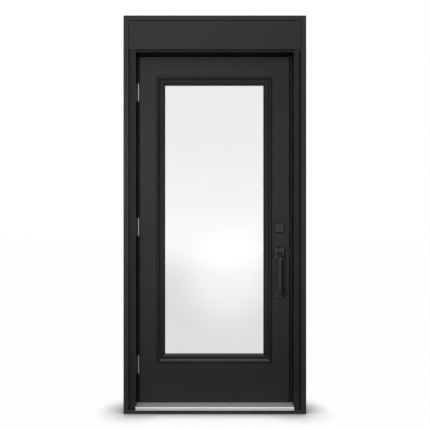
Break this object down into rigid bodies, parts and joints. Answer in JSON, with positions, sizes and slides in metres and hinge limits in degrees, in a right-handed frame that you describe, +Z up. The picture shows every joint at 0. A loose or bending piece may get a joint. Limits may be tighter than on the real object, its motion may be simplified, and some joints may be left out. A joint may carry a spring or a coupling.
{
  "type": "steel entry door with frame",
  "caption": "Outward-opening steel entry door with a full-length glass panel, pull handle, deadbolt, casing, frame and aluminium sill.",
  "frame": {"origin": "on the floor under the middle of the doorway, on the plane of the casing's back", "axes": "+X to the right seen from outside, +Y into the house, +Z up"},
  "size_m": [1.07, 0.201, 2.332],
  "materials": {
    "painted_steel": "satin",
    "painted_timber": "satin",
    "painted_casing": "satin",
    "black_composite": "satin",
    "satin_aluminium": "satin",
    "black_seal": "matte",
    "satin_steel": "satin",
    "insulation": "matte",
    "bare_timber": "matte",
    "glazing_frame": "satin",
    "clear_glass": "gloss",
    "black_hardware": "satin"
  },
  "bodies": {
    "frame": {"hinge_jamb": "painted_timber", "strike_jamb": "painted_timber", "head_jamb": "painted_timber", "sill_base": "black_composite", "sill_cover": "satin_aluminium", "sill_seal": "black_seal", "left_band": "painted_casing", "right_band": "painted_casing", "top_band": "painted_casing", "left_moulding": "painted_casing", "right_moulding": "painted_casing", "head_moulding": "painted_casing", "head_panel": "painted_casing", "hinge_weatherstrip": "black_seal", "strike_weatherstrip": "black_seal", "head_weatherstrip": "black_seal", "top_hinge_frame_leaf": "satin_steel", "middle_hinge_frame_leaf": "satin_steel", "bottom_hinge_frame_leaf": "satin_steel", "hinge_pins": "satin_steel", "latch_strike": "satin_steel", "deadbolt_strike": "satin_steel", "frame_screws": "satin_steel"},
    "leaf": {"outer_skin": "painted_steel", "inner_skin": "painted_steel", "foam_core": "insulation", "hinge_stile": "bare_timber", "lock_stile": "bare_timber", "top_rail": "bare_timber", "bottom_rail": "bare_timber", "lock_block": "bare_timber", "outer_lite_frame": "glazing_frame", "inner_lite_frame": "glazing_frame", "outer_pane": "clear_glass", "inner_pane": "clear_glass", "glass_spacer": "satin_steel", "lite_screws": "satin_steel", "door_sweep": "black_seal", "top_hinge_door_leaf": "satin_steel", "middle_hinge_door_leaf": "satin_steel", "bottom_hinge_door_leaf": "satin_steel", "leaf_screws": "satin_steel", "deadbolt_rosette": "black_hardware", "deadbolt_cylinder": "black_hardware", "turn_rosette": "black_hardware", "deadbolt_case": "satin_steel", "latch_case": "satin_steel", "handle_plate": "black_hardware", "handle_grip": "black_hardware", "grip_base": "black_hardware", "knob_rosette": "black_hardware", "lock_bolts": "satin_steel"},
    "turn": {"thumbturn": "black_hardware", "turn_blade": "satin_steel"},
    "plug": {"key_plug": "black_hardware"},
    "dead_bolt": {"deadbolt": "satin_steel"},
    "thumb": {"thumb_piece": "black_hardware"},
    "knob": {"inner_knob": "black_hardware", "knob_spindle": "satin_steel"},
    "latch": {"latch_bolt": "satin_steel"}
  },
  "joints": [
    {"name": "leaf_swing", "type": "hinge", "parent": "frame", "child": "leaf", "pos_m": [-0.4586, 0.0545, 1.094], "axis": [0, 0, -1], "range_deg": [0, 90]},
    {"name": "turn_rotate", "type": "hinge", "parent": "leaf", "child": "turn", "pos_m": [0.3862, 0.11, 1.088], "axis": [0, 1, 0], "range_deg": [0, 90]},
    {"name": "plug_rotate", "type": "hinge", "parent": "leaf", "child": "plug", "pos_m": [0.3862, 0.05, 1.088], "axis": [0, 1, 0], "range_deg": [0, 90]},
    {"name": "deadbolt_slide", "type": "slide", "parent": "leaf", "child": "dead_bolt", "axis": [1, 0, 0], "range_m": [0, 0.0254]},
    {"name": "knob_turn", "type": "hinge", "parent": "leaf", "child": "knob", "pos_m": [0.3862, 0.11, 0.9483], "axis": [0, 1, 0], "range_deg": [0, 60], "stiffness_Nm_per_rad": 0.3, "springref_deg": 60},
    {"name": "thumb_press", "type": "hinge", "parent": "leaf", "child": "thumb", "pos_m": [0.3862, 0.05, 0.938], "axis": [-1, 0, 0], "range_deg": [0, 14]},
    {"name": "latch_slide", "type": "slide", "parent": "leaf", "child": "latch", "axis": [1, 0, 0], "range_m": [0, 0.0127]}
  ],
  "couplings": [
    {"joint": "plug_rotate", "follows": "turn_rotate", "ratio": 1},
    {"joint": "deadbolt_slide", "follows": "turn_rotate", "m_per_rad": 0.01617},
    {"joint": "thumb_press", "follows": "knob_turn", "ratio": 0.2333},
    {"joint": "latch_slide", "follows": "knob_turn", "m_per_rad": 0.012127}
  ]
}
